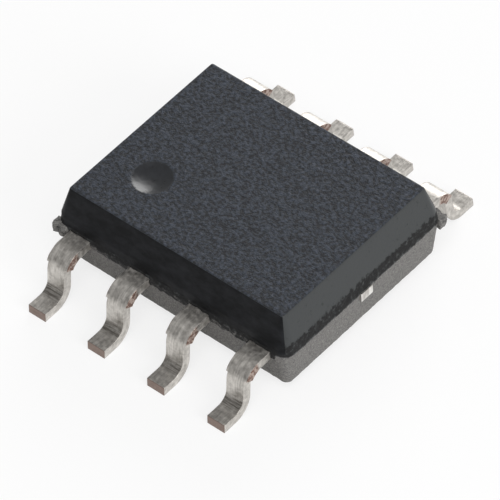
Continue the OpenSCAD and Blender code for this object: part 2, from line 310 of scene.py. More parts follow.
def makeTinPlate():
    material, tree = newMaterial("mattTinPlate")
    strip = addNode(tree, "ShaderNodeAttribute", {"attribute_name": "strip"})
    place = addNode(tree, "ShaderNodeAttribute", {"attribute_name": "place"})
    edge, fromStep, fromTip = addNode(tree, "ShaderNodeSeparateXYZ", None,
                                      {0: place.outputs["Vector"]}).outputs
    streakSpace = addNode(tree, "ShaderNodeMapping", None,
                          {"Vector": strip.outputs["Vector"],
                           "Rotation": (0, 0, tinPlate["skew"]),
                           "Scale": (1 / tinPlate["streak"], 4, 12)})
    streaks = addNode(tree, "ShaderNodeTexNoise", None,
                      {"Vector": streakSpace.outputs[0], "Scale": 1.0, "Detail": 3.0})
    mottle = addNode(tree, "ShaderNodeTexNoise", None,
                     {"Vector": strip.outputs["Vector"], "Scale": 1 / tinPlate["mottle"],
                      "Detail": 4.0, "Roughness": 0.6})
    ridgeSpace = addNode(tree, "ShaderNodeMapping", None,
                         {"Vector": strip.outputs["Vector"],
                          "Scale": (3.5, 1 / tinPlate["ridge"], 6)})
    ridges = addNode(tree, "ShaderNodeTexNoise", None,
                     {"Vector": ridgeSpace.outputs[0], "Scale": 1.0, "Detail": 3.0,
                      "Roughness": 0.6})
    mixed = addNode(tree, "ShaderNodeMix", {"data_type": "FLOAT"},
                    {"Factor": 0.6, "A": streaks.outputs["Fac"], "B": mottle.outputs["Fac"]})
    tone = addNode(tree, "ShaderNodeMapRange", None,
                   {"Value": mixed.outputs["Result"], "From Min": 0.36, "From Max": 0.64})
    plate = addNode(tree, "ShaderNodeMix", {"data_type": "RGBA"},
                    {"Factor": tone.outputs[0], "A": linearColour(tinPlate["dull"]),
                     "B": linearColour(tinPlate["bright"])})
    # painted shade: the lower bend, which lies about 0.27 to 0.72 mm from the tip, is painted
    # darker in ridged streaks
    inBend = addWindow(tree, fromTip, tinPlate["bendFrom"], tinPlate["bendTo"], "SMOOTHSTEP")
    ridged = addNode(tree, "ShaderNodeMapRange", None,
                     {"Value": ridges.outputs["Fac"], "From Min": 0.38, "From Max": 0.6,
                      "To Min": 0.35, "To Max": 1.0})
    onFace = addNode(tree, "ShaderNodeMapRange", None,
                     {"Value": edge, "From Min": tinPlate["nearEdge"][0],
                      "From Max": tinPlate["nearEdge"][1], "To Min": 1.0, "To Max": 0.0})
    ridgedBendShade = addNode(tree, "ShaderNodeMath", {"operation": "MULTIPLY"},
                  {0: inBend, 1: ridged.outputs[0]})
    bendShadeOnFace = addNode(tree, "ShaderNodeMath", {"operation": "MULTIPLY"},
                      {0: ridgedBendShade.outputs[0], 1: onFace.outputs[0]})
    paintedBendShade = addNode(tree, "ShaderNodeMix", {"data_type": "RGBA"},
                     {"Factor": bendShadeOnFace.outputs[0], "A": plate.outputs["Result"],
                      "B": linearColour(tinPlate["paintedBendShade"])})
    # cut copper: the tip, painted darker as its shade, and the shoulder's sides where the dam bar
    # was
    patches = addNode(tree, "ShaderNodeMapRange", None,
                      {"Value": mottle.outputs["Fac"], "From Min": 0.44, "From Max": 0.58})
    cutColour = addNode(tree, "ShaderNodeMix", {"data_type": "RGBA"},
                        {"Factor": patches.outputs[0], "A": linearColour(tinPlate["brown"]),
                         "B": linearColour(tinPlate["pink"])})
    tipMask = addNode(tree, "ShaderNodeMapRange", None,
                      {"Value": fromTip, "From Min": tinPlate["tipFrom"][0],
                       "From Max": tinPlate["tipFrom"][1], "To Min": 1.0, "To Max": 0.0})
    sideMask = addNode(tree, "ShaderNodeMapRange", None,
                       {"Value": edge, "From Min": tinPlate["onSide"][0],
                        "From Max": tinPlate["onSide"][1]})
    dam = addWindow(tree, fromStep, tinPlate["damFrom"], tinPlate["damTo"], "LINEAR")
    damSide = addNode(tree, "ShaderNodeMath", {"operation": "MULTIPLY"},
                      {0: dam, 1: sideMask.outputs[0]})
    cutSide = addNode(tree, "ShaderNodeMix", {"data_type": "RGBA"},
                      {"Factor": damSide.outputs[0], "A": paintedBendShade.outputs["Result"],
                       "B": cutColour.outputs["Result"]})
    colour = addNode(tree, "ShaderNodeMix", {"data_type": "RGBA"},
                     {"Factor": tipMask.outputs[0], "A": cutSide.outputs["Result"],
                      "B": linearColour(tinPlate["tip"])})
    rough = addNode(tree, "ShaderNodeMapRange", None,
                    {"Value": mottle.outputs["Fac"], "From Min": 0.3, "From Max": 0.7,
                     "To Min": tinPlate["roughness"] + tinPlate["spread"][0],
                     "To Max": tinPlate["roughness"] + tinPlate["spread"][1]})
    relief = addNode(tree, "ShaderNodeMix", {"data_type": "FLOAT"},
                     {"Factor": inBend, "A": mixed.outputs["Result"],
                      "B": ridges.outputs["Fac"]})
    bump = addNode(tree, "ShaderNodeBump", None,
                   {"Strength": 0.5, "Distance": mm(tinPlate["relief"]),
                    "Height": relief.outputs["Result"]})
    surface = addNode(tree, "ShaderNodeBsdfPrincipled", None,
                      {"Base Color": colour.outputs["Result"], "Metallic": 1.0,
                       "Roughness": rough.outputs[0], "Normal": bump.outputs["Normal"]})
    addNode(tree, "ShaderNodeOutputMaterial", None, {"Surface": surface.outputs[0]})
    return material


# Sheared tin-plated copper: bright, with drag marks upwards over the cut
shearedTinPlate = {
    "name": "shearedTinPlate", "dark": "#b9b5af", "light": "#f2f0ec", "metallic": 1.0,
    "roughness": 0.35,
    "grain": 0.05,         # mm across one mark
    "depth": 0.003,        # mm
    "stretch": 5.0,        # how many times taller a mark is than wide
}

# Silver-filled epoxy: a dull grey paste with a faint metal sheen
silverFilledEpoxy = {
    "name": "silverFilledEpoxy", "dark": "#8c8c8e", "light": "#b9b9ba", "metallic": 0.4,
    "roughness": 0.5, "grain": 0.02, "depth": 0.002, "stretch": 1.0,
}

# Polished silicon: a dark blue-grey mirror, slightly cloudy
polishedSilicon = {
    "name": "polishedSilicon", "dark": "#2a2d36", "light": "#3d4350", "metallic": 0.3,
    "roughness": 0.12, "grain": 0.08, "depth": 0.0005, "stretch": 1.0,
}

# Drawn gold wire: clean, bright and warm yellow
drawnGoldWire = {
    "name": "drawnGoldWire", "dark": "#c9973a", "light": "#e8bd62", "metallic": 1.0,
    "roughness": 0.2, "grain": 0.02, "depth": 0.0005, "stretch": 1.0,
}


# The small parts' finish: one noise gives both tone and relief
def makeSmallFinish(finish):
    material, tree = newMaterial(finish["name"])
    where = addNode(tree, "ShaderNodeTexCoord")
    scaled = addNode(tree, "ShaderNodeMapping", None,
                     {"Vector": where.outputs["Object"],
                      "Scale": (perMillimetre, perMillimetre,
                                perMillimetre / finish["stretch"])})
    spots = addNode(tree, "ShaderNodeTexNoise", None,
                    {"Vector": scaled.outputs[0], "Scale": 1 / finish["grain"],
                     "Detail": 3.0})
    tone = addNode(tree, "ShaderNodeMapRange", None,
                   {"Value": spots.outputs["Fac"], "From Min": 0.35, "From Max": 0.65})
    colour = addNode(tree, "ShaderNodeMix", {"data_type": "RGBA"},
                     {"Factor": tone.outputs[0], "A": linearColour(finish["dark"]),
                      "B": linearColour(finish["light"])})
    bump = addNode(tree, "ShaderNodeBump", None,
                   {"Strength": 0.5, "Distance": mm(finish["depth"]),
                    "Height": spots.outputs["Fac"]})
    surface = addNode(tree, "ShaderNodeBsdfPrincipled", None,
                      {"Base Color": colour.outputs["Result"],
                       "Metallic": finish["metallic"], "Roughness": finish["roughness"],
                       "Normal": bump.outputs["Normal"]})
    addNode(tree, "ShaderNodeOutputMaterial", None, {"Surface": surface.outputs[0]})
    return material


epoxy = makeGrainedEpoxy()
shadedSideEpoxy = makePolishedEpoxy(shadedPolishedWall)
shinyEpoxy = makePolishedEpoxy(polishedPin)
tin = makeTinPlate()
shearedTin = makeSmallFinish(shearedTinPlate)
dieAttach = makeSmallFinish(silverFilledEpoxy)
silicon = makeSmallFinish(polishedSilicon)
gold = makeSmallFinish(drawnGoldWire)
print("materials made")

moulding = {
    "length": 4.9,
    "width": 3.9,
    "parting": 0.94,       # height of the parting line
    "band": 0.2,           # height of the steep band above the parting line
    "bandDraft": 0.02,
    "upperInset": 0.2,
    "lowerInset": 0.11,
    "topCorner": 0.03,     # radius of the top face's corners
    "edge": 0.03,          # radius round the top edge and the underside's
    "edgeSteps": 4,
    "cell": 0.026,         # size of one facet, which carries the coarser relief
    "coarseRow": 0.055,    # height of a row away from the parting line
    "leastRow": 0.012,
    "fineBelow": 0.2,      # how far from the parting line the rows stay fine
    "fineAbove": 0.3,
    "dimpleAt": (-1.34, -0.76),
    "dimpleWidth": 0.73,
    "dimpleDepth": 0.07,
    "ejectorWidth": 1.0,
    "ejectorDepth": 0.03,
    "ejectorWall": 0.006,  # run of the mark's steep side
    "rimOut": 0.03,        # how far the flash stands out of the long sides
    "rimFrom": 0.77,       # height of the flash's lower edge, at the metal's underside
    "rimSoft": 0.018,
    "lumpSize": 0.13,      # length of one lump of the flash
    "lumpShare": 0.7,      # mean of the lumps, and how much they vary
    "darkOnSides": (0.79, 1.05, 0.04),    # where the flash and the painted shade above the rim darken the walls: from, to, fade
    "darkOnEnds": (0.93, 1.17, 0.05),
    "polishedFrom": 0.05,  # above the parting line, where the long walls turn smooth
    "lowerGrain": 0.8,     # how strong the grain is, as a share of the top's
    "dimpleGrain": 0.25,
    "pitSize": 0.08,       # the relief that is cut into the mesh itself
    "pitDepth": 0.022,
    "clotSize": 0.11,
    "clotDepth": 0.035,
    "seed": 4.0,
}
grainedWall, polishedSides, dimpleWall = range(3)    # the mould's walls, by number
cornerRadius = moulding["topCorner"] + moulding["upperInset"]
bodyLow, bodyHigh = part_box("body")
standoff = bodyLow.z / millimetre
topHeight = bodyHigh.z / millimetre


# Points (reach, height) up one half's side, from the parting line to its flat face. The
# strip near the parting line, where the flash is, gets closer points
def halfSide(height, inset, band, bandIn, fineTo):
    edge = moulding["edge"]
    lean = math.atan((inset - bandIn) / (height - band))
    filletAt = cornerRadius - inset - edge * math.tan(math.pi / 4 - lean / 2)
    corners = [(cornerRadius, 0.0)]
    if band:
        corners.append((cornerRadius - bandIn, band))
    corners.append((filletAt + edge * math.cos(lean), height - edge + edge * math.sin(lean)))
    side = [corners[0]]
    for start, end in zip(corners, corners[1:]):
        h = start[1]
        while h < end[1] - hair:
            h = min(end[1], h + (moulding["cell"] if h < fineTo else moulding["coarseRow"]))
            if end[1] - h < moulding["leastRow"]:
                h = end[1]
            t = (h - start[1]) / (end[1] - start[1])
            side.append((start[0] + (end[0] - start[0]) * t, h))
    for k in range(1, moulding["edgeSteps"] + 1):
        angle = lean + (math.pi / 2 - lean) * k / moulding["edgeSteps"]
        side.append((filletAt + edge * math.cos(angle), height - edge + edge * math.sin(angle)))
    return side


# Place of the grid point (u, v), each from -1 to 1, in a rounded rectangle
def inOutline(u, v, radius):
    straightX = moulding["length"] / 2 - cornerRadius
    straightY = moulding["width"] / 2 - cornerRadius
    x = u * (straightX + radius)
    y = v * (straightY + radius)
    overX = abs(x) - straightX
    overY = abs(y) - straightY
    if overX > 0 and overY > 0:
        pull = max(overX, overY) / math.hypot(overX, overY)
        x = math.copysign(straightX + overX * pull, x)
        y = math.copysign(straightY + overY * pull, y)
    return x, y


# A round recess in a flat face. Points next to its rim are drawn onto it, so it stays round
def recess(x, y, centre, width, depth, dished):
    dx = x - centre[0]
    dy = y - centre[1]
    away = math.hypot(dx, dy)
    rim = width / 2
    if away < hair:
        return x, y, depth
    if abs(away - rim) < moulding["cell"] / 2:
        return centre[0] + dx * rim / away, centre[1] + dy * rim / away, 0.0
    if away > rim:
        return x, y, 0.0
    if dished:
        ball = (rim * rim + depth * depth) / (2 * depth)
        return x, y, math.sqrt(ball * ball - away * away) - (ball - depth)
    if away > rim - 1.5 * moulding["cell"]:
        inner = rim - moulding["ejectorWall"]
        return centre[0] + dx * inner / away, centre[1] + dy * inner / away, depth
    return x, y, depth


def smoothStep(low, high, value):
    t = min(1.0, max(0.0, (value - low) / (high - low)))
    return t * t * (3 - 2 * t)


# Rises to 1 between two heights, and falls away softly outside them
def between(low, high, soft, value):
    return smoothStep(low - soft, low + soft, value) * (1 - smoothStep(high - soft,
                                                                       high + soft, value))


def buildMoulding():
    parting = moulding["parting"]
    countX = round(moulding["length"] / moulding["cell"])
    countY = round(moulding["width"] / moulding["cell"])
    around = ([(i, 0) for i in range(countX)] + [(countX, j) for j in range(countY)]
              + [(countX - i, countY) for i in range(countX)]
              + [(0, countY - j) for j in range(countY)])
    lower = halfSide(parting - standoff, moulding["lowerInset"], 0, 0, moulding["fineBelow"])
    upper = halfSide(topHeight - parting, moulding["upperInset"], moulding["band"],
                     moulding["bandDraft"], moulding["fineAbove"])
    levels = [(reach, parting - h) for reach, h in reversed(lower)]
    levels += [(reach, parting + h) for reach, h in upper[1:]]
    lastLevel = len(levels) - 1
    edgeLevel = lastLevel - moulding["edgeSteps"]      # where the walls end and the edge starts
    points = []
    faces = []
    walls = []
    finishes = []
    index = {}
    for k, (reach, z) in enumerate(levels):
        flat = k in (0, lastLevel)
        spots = [(i, j) for i in range(countX + 1) for j in range(countY + 1)] if flat else around
        isLow = 1.0 if z < parting - hair else 0.0
        rim = between(moulding["rimFrom"], parting, moulding["rimSoft"], z)
        for i, j in spots:
            x, y = inOutline(2 * i / countX - 1, 2 * j / countY - 1, reach)
            height = z
            onEnd = abs(x) > moulding["length"] / 2 - cornerRadius and not flat
            if k == lastLevel:
                x, y, drop = recess(x, y, moulding["dimpleAt"], moulding["dimpleWidth"],
                                    moulding["dimpleDepth"], True)
                height = z - drop
            elif k == 0:
                x, y, rise = recess(x, y, (0, 0), moulding["ejectorWidth"],
                                    moulding["ejectorDepth"], False)
                height = z + rise
            if rim and not onEnd:
                wave = noise.noise(Vector((x / moulding["lumpSize"], y, moulding["seed"])))
                lump = moulding["lumpShare"] * (1 + wave)
                y += math.copysign(moulding["rimOut"] * rim * min(1.0, lump), y)
            # the grain reaches halfway round the top edge
            grain = 1.0 if k >= lastLevel - 2 else (moulding["lowerGrain"] if isLow else 0.0)
            if k == lastLevel and height < z - hair:
                grain = moulding["dimpleGrain"]
            low, high, soft = moulding["darkOnEnds" if onEnd else "darkOnSides"]
            band = between(low, high, soft, z)
            index[(i, j, k)] = len(points)
            points.append(mm(x, y, height))
            finishes.append((grain, isLow, 0.0 if flat else band))
    for k in (0, lastLevel):
        for i in range(countX):
            for j in range(countY):
                face = [index[(i, j, k)], index[(i + 1, j, k)],
                        index[(i + 1, j + 1, k)], index[(i, j + 1, k)]]
                faces.append(face if k else face[::-1])
                sunk = k and all(points[n].z < mm(topHeight - hair) for n in face[::2])
                walls.append(dimpleWall if sunk else grainedWall)
    for k in range(lastLevel):
        for p, (i, j) in enumerate(around):
            ii, jj = around[(p + 1) % len(around)]
            faces.append([index[(i, j, k)], index[(ii, jj, k)],
                          index[(ii, jj, k + 1)], index[(i, j, k + 1)]])
            longSide = j == jj and j in (0, countY)
            above = levels[k][1] > parting + moulding["polishedFrom"]
            polished = longSide and above and k <= edgeLevel
            walls.append(polishedSides if polished else grainedWall)
    mesh = bpy.data.meshes.new("moulding")
    mesh.from_pydata(points, [], faces)
    layer = mesh.attributes.new("finish", "FLOAT_VECTOR", "POINT")
    layer.data.foreach_set("vector", [value for finish in finishes for value in finish])
    mesh.attributes.new("wall", "INT", "FACE").data.foreach_set("value", walls)
    mesh.update()
    return mesh


ear = {
    "out": 0.11,           # past the long side
    "length": 0.3,
    "past": 0.02,          # past the body's end
    "over": 0.02,          # above the parting line
    "cell": 0.022,
    "reach": (0.62, 0.38), # share of its reach that is even, and that comes and goes in lobes
    "lobes": (0.15, 1.25), # where the lobes start along it, and how many there are
    "cornerLoss": 0.5,     # how far it falls back at the corner
    "innerLoss": 0.6,      # and at its inner end
    "thinning": 0.3,       # how much thinner it gets outwards
    "tearSize": 0.07,
    "tear": 0.016,
    "tearSeed": 7,         # without it the tear would differ from run to run
    "finish": (1.0, 1.0, 0.35),  # grain, the lower half's painted lighter grey, and a part of the flash's colour with its painted shade
}


# An ear of flash at one corner, broken off ragged where the mould's vent was
def buildEar(turn, seed):
    shape = bmesh.new()
    side = moulding["width"] / 2
    inner = side - cornerRadius / 2
    left = moulding["length"] / 2 - ear["length"]
    right = moulding["length"] / 2 + ear["past"]
    low = moulding["rimFrom"]
    high = moulding["parting"] + ear["over"]
    middle = (low + high) / 2
    counts = [max(2, round((b - a) / ear["cell"])) for a, b in
              ((left, right), (inner, side + ear["out"]), (low, high))]
    corners = {}

    def corner(i, j, k):
        if (i, j, k) not in corners:
            u, v, w = i / counts[0], j / counts[1], k / counts[2]
            x = left + (right - left) * u
            wave = math.sin(math.pi * (ear["lobes"][0] + ear["lobes"][1] * u)) ** 2
            lobe = ear["reach"][0] + ear["reach"][1] * wave
            lobe *= (1 - ear["cornerLoss"] * smoothStep(0.86, 1.0, u)
                     - ear["innerLoss"] * (1 - smoothStep(0.0, 0.2, u)))
            y = inner + (side - inner + ear["out"] * lobe) * v
            z = low + (high - low) * w
            thin = 1 - ear["thinning"] * smoothStep(0.5, 1.0, v)
            place = Vector((x, y, middle + (z - middle) * thin))
            place += ear["tear"] * noise.noise_vector(place / ear["tearSize"]
                                                      + Vector((seed, 0, 0)))
            corners[(i, j, k)] = shape.verts.new(place * millimetre)
        return corners[(i, j, k)]

    for axis in range(3):
        across, up = [a for a in range(3) if a != axis]
        for end in (0, counts[axis]):
            for a in range(counts[across]):
                for b in range(counts[up]):
                    ring = []
                    for da, db in ((0, 0), (1, 0), (1, 1), (0, 1)):
                        at = [0, 0, 0]
                        at[axis], at[across], at[up] = end, a + da, b + db
                        ring.append(corner(*at))
                    shape.faces.new(ring)
    bmesh.ops.recalc_face_normals(shape, faces=shape.faces)
    bmesh.ops.rotate(shape, verts=shape.verts, matrix=Matrix.Rotation(turn, 3, "Z"))
    layer = shape.verts.layers.float_vector.new("finish")
    for vert in shape.verts:
        vert[layer] = ear["finish"]
    shape.faces.layers.int.new("wall")     # all on the grained wall, numbered 0
    return toMesh("ear", shape)


# Presses the compound's relief into the mesh: pits of the spark-eroded finish, and the
# clots along the flash. Then each wall of the mould gets its material
def makeReliefTree():
    tree = bpy.data.node_groups.new("mouldRelief", "GeometryNodeTree")
    tree.interface.new_socket(name="Geometry", in_out="INPUT",
                              socket_type="NodeSocketGeometry")
    sockets = {}
    for name, kind in (("Pit Size", "Float"), ("Pit Depth", "Float"), ("Clot Size", "Float"),
                       ("Clot Depth", "Float"), ("Seed", "Float"), ("Grained", "Material"),
                       ("Polished", "Material"), ("Dimple", "Material")):
        sockets[name] = tree.interface.new_socket(
            name=name, in_out="INPUT", socket_type="NodeSocket" + kind).identifier
    tree.interface.new_socket(name="Geometry", in_out="OUTPUT",
                              socket_type="NodeSocketGeometry")
    given = addNode(tree, "NodeGroupInput").outputs
    finish = addNode(tree, "GeometryNodeInputNamedAttribute", {"data_type": "FLOAT_VECTOR"},
                     {"Name": "finish"})
    masks = addNode(tree, "ShaderNodeSeparateXYZ", None, {0: finish.outputs[0]}).outputs
    place = addNode(tree, "GeometryNodeInputPosition").outputs[0]
    offsets = []
    for size, depth, mask in (("Pit Size", "Pit Depth", masks["X"]),
                              ("Clot Size", "Clot Depth", masks["Z"])):
        frequency = addNode(tree, "ShaderNodeMath", {"operation": "DIVIDE"},
                            {0: 1.0, 1: given[size]})
        pits = addNode(tree, "ShaderNodeTexNoise", {"noise_dimensions": "4D"},
                       {"Vector": place, "W": given["Seed"], "Scale": frequency.outputs[0],
                        "Detail": 1.5})
        centred = addNode(tree, "ShaderNodeMath", {"operation": "SUBTRACT"},
                          {0: pits.outputs["Fac"], 1: 0.5})
        deep = addNode(tree, "ShaderNodeMath", {"operation": "MULTIPLY"},
                       {0: centred.outputs[0], 1: given[depth]})
        offsets.append(addNode(tree, "ShaderNodeMath", {"operation": "MULTIPLY"},
                               {0: deep.outputs[0], 1: mask}).outputs[0])
    total = addNode(tree, "ShaderNodeMath", {"operation": "ADD"},
                    {0: offsets[0], 1: offsets[1]})
    normal = addNode(tree, "GeometryNodeInputNormal").outputs[0]
    push = addNode(tree, "ShaderNodeVectorMath", {"operation": "SCALE"},
                   {0: normal, "Scale": total.outputs[0]})
    pressed = addNode(tree, "GeometryNodeSetPosition", None,
                      {0: given["Geometry"], "Offset": push.outputs[0]})
    real = addNode(tree, "GeometryNodeRealizeInstances", None, {0: pressed.outputs[0]})
    wall = addNode(tree, "GeometryNodeInputNamedAttribute", {"data_type": "INT"},
                   {"Name": "wall"})
    finished = addNode(tree, "GeometryNodeSetMaterial", None,
                       {0: real.outputs[0], "Material": given["Grained"]})
    for name, number in (("Polished", polishedSides), ("Dimple", dimpleWall)):
        onWall = addNode(tree, "FunctionNodeCompare", {"data_type": "INT", "operation": "EQUAL"},
                         {"A": wall.outputs[0], "B": number})
        finished = addNode(tree, "GeometryNodeSetMaterial", None,
                           {0: finished.outputs[0], "Selection": onWall.outputs[0],
                            "Material": given[name]})
    addNode(tree, "NodeGroupOutput", None, {0: finished.outputs[0]})
    return tree, sockets


# Runs a tree on a mesh and gives back the plain mesh it makes. A width breaks its edges
def runTree(name, mesh, tree, sockets, values, edge=0.0):
    holder = bpy.data.objects.new(name, mesh)
    bpy.context.scene.collection.objects.link(holder)
    modifier = holder.modifiers.new("shape", "NODES")
    modifier.node_group = tree
    for key, value in values.items():
        modifier[sockets[key]] = value
    if edge:
        breakEdges(holder, edge, gullWing["edgeAngle"])
    seen = holder.evaluated_get(bpy.context.evaluated_depsgraph_get())
    made = bpy.data.meshes.new_from_object(seen)
    bpy.data.objects.remove(holder)
    return made


def addMoulding():
    relief, sockets = makeReliefTree()
    shape = bmesh.new()
    shape.from_mesh(buildMoulding())
    noise.seed_set(ear["tearSeed"])
    for turn, seed in ((0.0, 2.0), (math.pi, 9.0)):
        shape.from_mesh(buildEar(turn, seed))
    mesh = runTree("mould", toMesh("moulding", shape), relief, sockets, {
        "Pit Size": mm(moulding["pitSize"]), "Pit Depth": mm(moulding["pitDepth"]),
        "Clot Size": mm(moulding["clotSize"]), "Clot Depth": mm(moulding["clotDepth"]),
        "Seed": moulding["seed"], "Grained": epoxy, "Polished": shadedSideEpoxy,
        "Dimple": shinyEpoxy})
    body = newPiece("moulding", mesh)
    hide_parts("body")
    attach(body, "root")
    print("moulding built,", len(mesh.polygons), "faces")


addMoulding()

gullWing = {
    "thickness": 0.17,
    "shoulderWidth": 0.42,
    "leadWidth": 0.36,
    "bendRadius": 0.22,    # inside each bend
    "shoulderRun": 0.25,
    "lean": 6.0,           # of the riser, in degrees
    "damTurn": 62.0,       # how far round the bend the dam bar's stubs reach, in degrees
    "tipCut": 4.0,         # slant of the sheared tip, in degrees
    "joint": 1.88,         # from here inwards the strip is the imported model's own
    "bendSteps": 24,
    "across": 12,
    "along": 84,
    "upToStep": 34,        # how many of those lie before the step
    "through": 6,
    "seam": 0.003,         # half the length in which the strip narrows at the step
    "edge": 0.012,         # radius of the sheared edges
    "edgeAngle": 50,       # degrees, the least turn that counts as an edge
    "burr": 0.022,         # how far the cut stubs of the dam bar stand out at most
    "stubFade": (-0.34, -0.2),   # past the step, where a stub starts and is full
    "weld": 0.0005,        # packed points closer than this are one
}


# The tree bends a subdivided bar along a gull wing: a path with two rounded corners
def makeStripTree():
    tree = bpy.data.node_groups.new("gullWingStrip", "GeometryNodeTree")
    sockets = {}
    for name, kind in (("Start", "Vector"), ("Upper Corner", "Vector"),
                       ("Lower Corner", "Vector"), ("Tip", "Vector"), ("Bend", "Float"),
                       ("Thickness", "Float"), ("Shoulder Width", "Float"),
                       ("Lead Width", "Float"), ("Step At", "Float"), ("Tip Slant", "Float"),
                       ("Burr", "Float"), ("Place", "Vector"), ("Turn", "Float"),
                       ("Seed", "Float"), ("Material", "Material")):
        sockets[name] = tree.interface.new_socket(
            name=name, in_out="INPUT", socket_type="NodeSocket" + kind).identifier
    tree.interface.new_socket(name="Geometry", in_out="OUTPUT",
                              socket_type="NodeSocketGeometry")
    given = addNode(tree, "NodeGroupInput").outputs
    outline = addNode(tree, "GeometryNodeCurvePrimitiveQuadrilateral", {"mode": "POINTS"},
                      {"Point 1": given["Start"], "Point 2": given["Upper Corner"],
                       "Point 3": given["Lower Corner"], "Point 4": given["Tip"]})
    opened = addNode(tree, "GeometryNodeSetSplineCyclic", None,
                     {0: outline.outputs[0], "Cyclic": False})
    path = addNode(tree, "GeometryNodeFilletCurve", {"mode": "POLY"},
                   {0: opened.outputs[0], "Count": gullWing["bendSteps"],
                    "Radius": given["Bend"]})
    length = addNode(tree, "GeometryNodeCurveLength", None, {0: path.outputs[0]}).outputs[0]
    bar = addNode(tree, "GeometryNodeMeshCube", None,
                  {"Vertices X": gullWing["across"] + 1, "Vertices Y": gullWing["along"] + 1,
                   "Vertices Z": gullWing["through"] + 1})
    across, along, through = addNode(
        tree, "ShaderNodeSeparateXYZ", None,
        {0: addNode(tree, "GeometryNodeInputPosition").outputs[0]}).outputs
    # distance along the path, with a row of points just before and just after the step
    before = gullWing["upToStep"] / gullWing["along"] - 0.5
    after = before + 1 / gullWing["along"]
    seam = mm(gullWing["seam"])
    atStep = addNode(tree, "ShaderNodeMath", {"operation": "SUBTRACT"},
                     {0: given["Step At"], 1: seam})
    beyond = addNode(tree, "ShaderNodeMath", {"operation": "SUBTRACT"},
                     {0: length, 1: given["Step At"]})
    beyondStep = addNode(tree, "ShaderNodeMath", {"operation": "SUBTRACT"},
                         {0: beyond.outputs[0], 1: seam})
    first = addNode(tree, "ShaderNodeMapRange", None,
                    {"Value": along, "From Min": -0.5, "From Max": before,
                     "To Max": atStep.outputs[0]})
    jump = addNode(tree, "ShaderNodeMapRange", None,
                   {"Value": along, "From Min": before, "From Max": after,
                    "To Max": 2 * seam})
    second = addNode(tree, "ShaderNodeMapRange", None,
                     {"Value": along, "From Min": after, "From Max": 0.5,
                      "To Max": beyondStep.outputs[0]})
    firstTwo = addNode(tree, "ShaderNodeMath", {"operation": "ADD"},
                       {0: first.outputs[0], 1: jump.outputs[0]})
    distance = addNode(tree, "ShaderNodeMath", {"operation": "ADD"},
                       {0: firstTwo.outputs[0], 1: second.outputs[0]}).outputs[0]
    # the tip is sheared at a slant, so its upper edge stops short
    nearTip = addNode(tree, "ShaderNodeMapRange", None,
                      {"Value": along, "From Min": 0.4, "From Max": 0.5})
    raised = addNode(tree, "ShaderNodeMath", {"operation": "ADD"}, {0: through, 1: 0.5})
    slant = addNode(tree, "ShaderNodeMath", {"operation": "MULTIPLY"},
                    {0: raised.outputs[0], 1: given["Tip Slant"]})
    cut = addNode(tree, "ShaderNodeMath", {"operation": "MULTIPLY"},
                  {0: slant.outputs[0], 1: nearTip.outputs[0]})
    reached = addNode(tree, "ShaderNodeMath", {"operation": "SUBTRACT"},
                      {0: distance, 1: cut.outputs[0]})
    onPath = addNode(tree, "GeometryNodeSampleCurve", {"mode": "LENGTH"},
                     {"Curves": path.outputs[0], "Length": reached.outputs[0]})
    outward = addNode(tree, "ShaderNodeVectorMath", {"operation": "CROSS_PRODUCT"},
                      {0: (1, 0, 0), 1: onPath.outputs["Tangent"]})
    # the strip narrows at the step, and the stubs before it stand out unevenly
    past = addNode(tree, "ShaderNodeMath", {"operation": "SUBTRACT"},
                   {0: distance, 1: given["Step At"]}).outputs[0]
    narrow = addNode(tree, "ShaderNodeMath", {"operation": "GREATER_THAN"}, {0: past, 1: 0.0})
    plain = addNode(tree, "ShaderNodeMix", {"data_type": "FLOAT"},
                    {"Factor": narrow.outputs[0], "A": given["Shoulder Width"],
                     "B": given["Lead Width"]})
    grit = addNode(tree, "ShaderNodeTexNoise", {"noise_dimensions": "4D"},
                   {"W": given["Seed"], "Scale": 12.0, "Detail": 2.0})
    stubIn = addNode(tree, "ShaderNodeMapRange", {"interpolation_type": "SMOOTHSTEP"},
                     {"Value": past, "From Min": mm(gullWing["stubFade"][0]),
                      "From Max": mm(gullWing["stubFade"][1])})
    stubOut = addNode(tree, "ShaderNodeMath", {"operation": "LESS_THAN"}, {0: past, 1: 0.0})
    stub = addNode(tree, "ShaderNodeMath", {"operation": "MULTIPLY"},
                   {0: stubIn.outputs[0], 1: stubOut.outputs[0]})
    burr = addNode(tree, "ShaderNodeMapRange", None,
                   {"Value": grit.outputs["Fac"], "From Min": 0.3, "From Max": 0.7,
                    "To Max": given["Burr"]})
    burrHere = addNode(tree, "ShaderNodeMath", {"operation": "MULTIPLY"},
                       {0: burr.outputs[0], 1: stub.outputs[0]})
    width = addNode(tree, "ShaderNodeMath", {"operation": "ADD"},
                    {0: plain.outputs[0], 1: burrHere.outputs[0]})
    sideways = addNode(tree, "ShaderNodeMath", {"operation": "MULTIPLY"},
                       {0: across, 1: width.outputs[0]})
    sideVector = addNode(tree, "ShaderNodeCombineXYZ", None, {0: sideways.outputs[0]})
    lift = addNode(tree, "ShaderNodeMath", {"operation": "MULTIPLY"},
                   {0: through, 1: given["Thickness"]})
    liftVector = addNode(tree, "ShaderNodeVectorMath", {"operation": "SCALE"},
                         {0: outward.outputs[0], "Scale": lift.outputs[0]})
    offPath = addNode(tree, "ShaderNodeVectorMath", {"operation": "ADD"},
                      {0: onPath.outputs["Position"], 1: liftVector.outputs[0]})
    position = addNode(tree, "ShaderNodeVectorMath", {"operation": "ADD"},
                       {0: offPath.outputs[0], 1: sideVector.outputs[0]})
